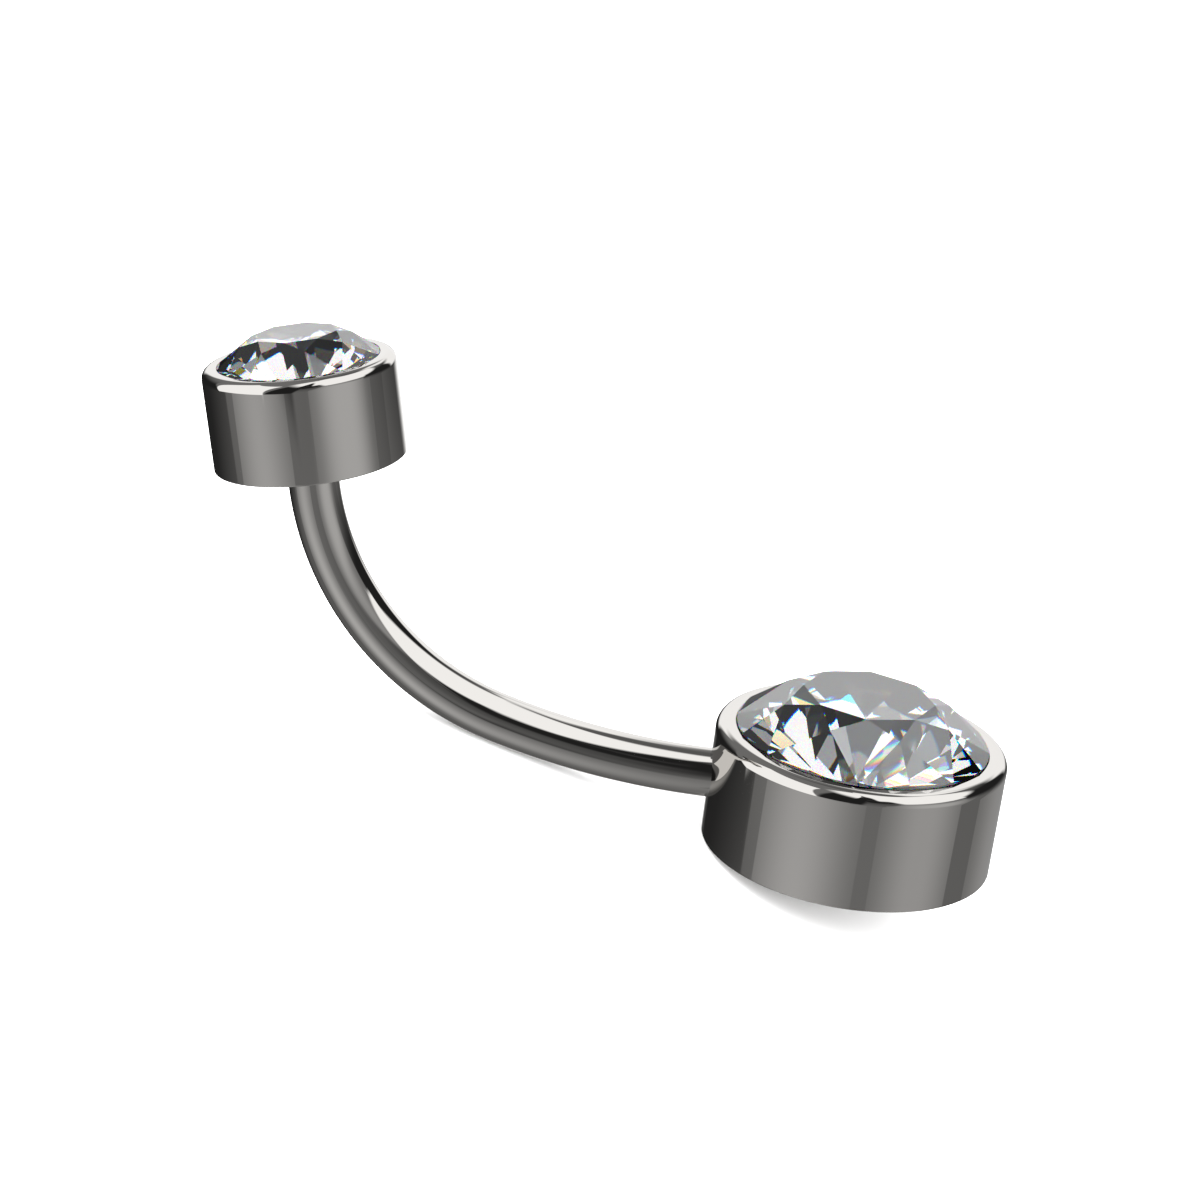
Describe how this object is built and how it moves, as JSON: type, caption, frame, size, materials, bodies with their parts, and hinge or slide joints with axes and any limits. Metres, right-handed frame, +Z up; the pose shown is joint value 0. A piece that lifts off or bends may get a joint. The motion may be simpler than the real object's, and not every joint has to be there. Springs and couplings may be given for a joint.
{
  "type": "belly button ring",
  "caption": "Curved barbell for a navel piercing, with a round cup and a brilliant cut stone at each end, a large one soldered on and a small one that screws off.",
  "frame": {"origin": "on the table under the middle of the ring's length and width, as it rests on the edge of the large cup's back and on the outside of the bar's bend", "axes": "+X from the small cup towards the large cup, +Y across the ring, away from a viewer at its front, +Z up from the table"},
  "size_m": [0.0292, 0.0094, 0.0106],
  "materials": {
    "polished_steel": "polished",
    "clear_stone": "polished"
  },
  "bodies": {
    "root": {"bar_and_large_cup": "polished_steel", "small_cup": "polished_steel", "large_stone": "clear_stone", "small_stone": "clear_stone"}
  },
  "joints": []
}
